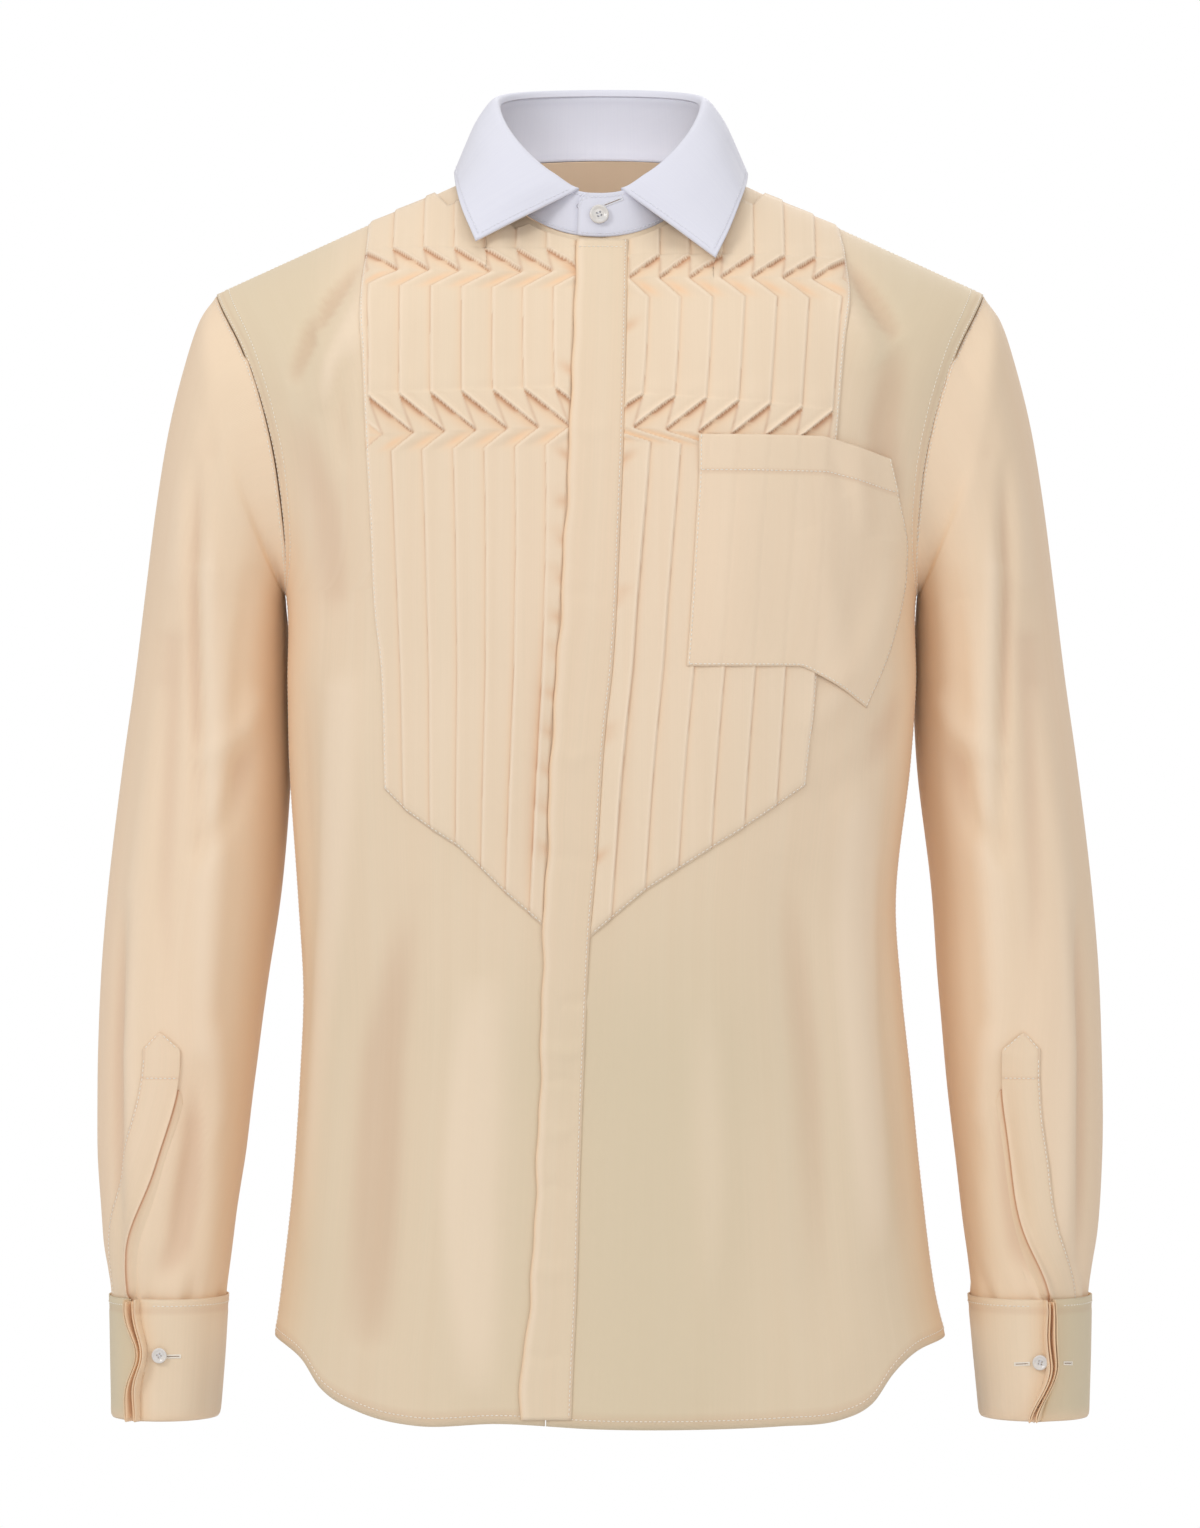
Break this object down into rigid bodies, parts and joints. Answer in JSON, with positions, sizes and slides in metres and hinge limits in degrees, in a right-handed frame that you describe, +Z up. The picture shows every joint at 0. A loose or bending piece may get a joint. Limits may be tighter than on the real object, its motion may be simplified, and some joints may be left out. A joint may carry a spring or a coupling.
{
  "type": "pleated shirt",
  "caption": "Long-sleeved dress shirt worn open at neck, hem and wrists, with pleated chest bibs, concealed placket, chest pocket, white collar and turned-back cuffs.",
  "frame": {"origin": "middle of the neck opening at the height of the neck points, where the wearer's neck and shoulders hold it", "axes": "+Z up, -Y out of the front, +X to the wearer's left"},
  "size_m": [0.6034, 0.2529, 0.8006],
  "materials": {
    "shirting": "fine cotton shirting in pale peach, with a soft two-tone sheen",
    "collar_cloth": "crisp white cotton, fused and smooth",
    "pearl_button": "glossy pearl-white"
  },
  "bodies": {
    "root": {"front_right": "shirting", "front_left": "shirting", "back": "shirting", "yoke": "shirting", "bib_right": "shirting", "bib_left": "shirting", "placket": "shirting", "pocket": "shirting", "sleeve_right": "shirting", "sleeve_left": "shirting", "sleeve_placket_right": "shirting", "sleeve_underlap_right": "shirting", "sleeve_placket_left": "shirting", "sleeve_underlap_left": "shirting", "cuff_right": "shirting", "cuff_left": "shirting", "collar_stand": "collar_cloth", "collar_leaf": "collar_cloth", "collar_button": "pearl_button", "cuff_button_right": "pearl_button", "cuff_button_left": "pearl_button"}
  },
  "joints": []
}
